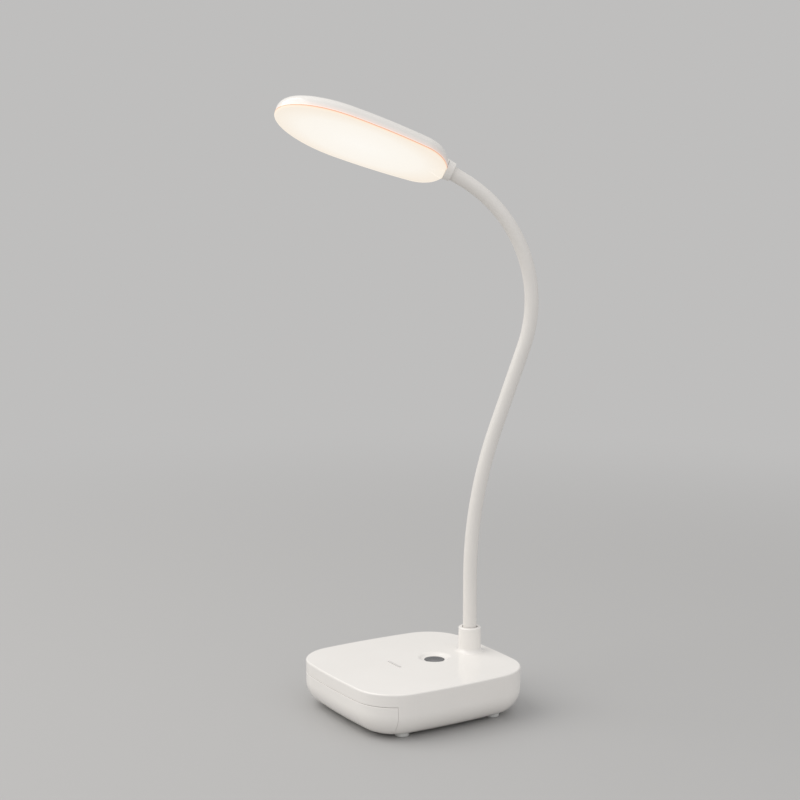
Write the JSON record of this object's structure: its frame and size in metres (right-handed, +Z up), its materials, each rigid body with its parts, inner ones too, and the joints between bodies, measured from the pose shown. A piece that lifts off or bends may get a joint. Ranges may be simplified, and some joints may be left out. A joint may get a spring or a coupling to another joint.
{
  "type": "desk lamp with drawer base",
  "caption": "Rechargeable desk lamp: rounded square base with a shallow front drawer and a touch disc, a gooseneck rising from a rear collar, and a paddle-shaped LED head.",
  "frame": {"origin": "on the floor under the middle of the base, in the plane of the four feet", "axes": "+Z up, -Y towards the drawer front, the collar near +Y, X across the base"},
  "size_m": [0.1116, 0.1379, 0.3579],
  "materials": {
    "housing_white": "glossy",
    "inner_white": "satin",
    "neck_white": "satin",
    "milky_diffuser": "satin",
    "polished_disc": "polished",
    "foot_rubber": "matte",
    "bright_steel": "satin",
    "hose_steel": "satin",
    "lead_insulation": "satin",
    "circuit_board": "satin",
    "chip_black": "matte",
    "cell_can": "satin",
    "led_board_metal": "satin",
    "led_phosphor": "satin"
  },
  "bodies": {
    "base": {"anchor_nut": "bright_steel", "anchor_washer": "bright_steel", "ballast_plate": "bright_steel", "base_screws": "bright_steel", "battery_cell": "cell_can", "battery_cradle": "inner_white", "board_parts": "chip_black", "board_screws": "bright_steel", "charge_board": "circuit_board", "charge_screws": "bright_steel", "charging_socket": "bright_steel", "control_board": "circuit_board", "indicator_light_pipe": "milky_diffuser", "inner_deck": "inner_white", "lower_housing": "housing_white", "rubber_feet": "foot_rubber", "top_housing": "housing_white", "touch_disc": "polished_disc", "touch_spring": "bright_steel", "neck_anchor": "bright_steel", "neck_sleeve_0": "neck_white", "neck_hose_0": "hose_steel", "neck_leads_0": "lead_insulation"},
    "drawer": {"drawer_front": "housing_white", "drawer_tray": "inner_white", "front_screws": "bright_steel"},
    "neck_1": {"neck_sleeve_1": "neck_white", "neck_hose_1": "hose_steel", "neck_leads_1": "lead_insulation"},
    "neck_2": {"neck_sleeve_2": "neck_white", "neck_hose_2": "hose_steel", "neck_leads_2": "lead_insulation"},
    "neck_3": {"neck_sleeve_3": "neck_white", "neck_hose_3": "hose_steel", "neck_leads_3": "lead_insulation"},
    "neck_4": {"neck_sleeve_4": "neck_white", "neck_hose_4": "hose_steel", "neck_leads_4": "lead_insulation"},
    "neck_5": {"neck_sleeve_5": "neck_white", "neck_hose_5": "hose_steel", "neck_leads_5": "lead_insulation"},
    "neck_6": {"neck_sleeve_6": "neck_white", "neck_hose_6": "hose_steel", "neck_leads_6": "lead_insulation"},
    "head": {"neck_sleeve_7": "neck_white", "neck_hose_7": "hose_steel", "neck_leads_7": "lead_insulation", "neck_ferrule": "housing_white", "head_cover": "housing_white", "diffuser": "milky_diffuser", "reflector_frame": "inner_white", "led_board": "led_board_metal", "leds": "led_phosphor", "led_screws": "bright_steel", "neck_clamp": "inner_white", "clamp_screws": "bright_steel"}
  },
  "joints": [
    {"name": "drawer_slide", "type": "slide", "parent": "base", "child": "drawer", "axis": [0, -1, 0], "range_m": [0, 0.04]},
    {"name": "neck_pitch_1", "type": "hinge", "parent": "base", "child": "neck_1", "pos_m": [0, 0.041, 0.0645], "axis": [0.8453, -0.5344, 0], "range_deg": [-25, 25]},
    {"name": "neck_sway_2", "type": "hinge", "parent": "neck_1", "child": "neck_2", "pos_m": [0.00088, 0.04239, 0.10444], "axis": [-0.5313, -0.8404, 0.1067], "range_deg": [-20, 20]},
    {"name": "neck_pitch_3", "type": "hinge", "parent": "neck_2", "child": "neck_3", "pos_m": [0.00463, 0.04832, 0.14379], "axis": [0.8453, -0.5344, 0], "range_deg": [-25, 25]},
    {"name": "neck_sway_4", "type": "hinge", "parent": "neck_3", "child": "neck_4", "pos_m": [0.01097, 0.05836, 0.18197], "axis": [-0.5067, -0.8016, 0.3173], "range_deg": [-20, 20]},
    {"name": "neck_pitch_5", "type": "hinge", "parent": "neck_4", "child": "neck_5", "pos_m": [0.0176, 0.06884, 0.21999], "axis": [0.8453, -0.5344, 0], "range_deg": [-25, 25]},
    {"name": "neck_sway_6", "type": "hinge", "parent": "neck_5", "child": "neck_6", "pos_m": [0.0175, 0.06869, 0.25961], "axis": [-0.5183, -0.8198, -0.2436], "range_deg": [-20, 20]},
    {"name": "neck_pitch_7", "type": "hinge", "parent": "neck_6", "child": "head", "pos_m": [0.00759, 0.053, 0.2946], "axis": [0.8453, -0.5344, 0], "range_deg": [-25, 25]}
  ]
}
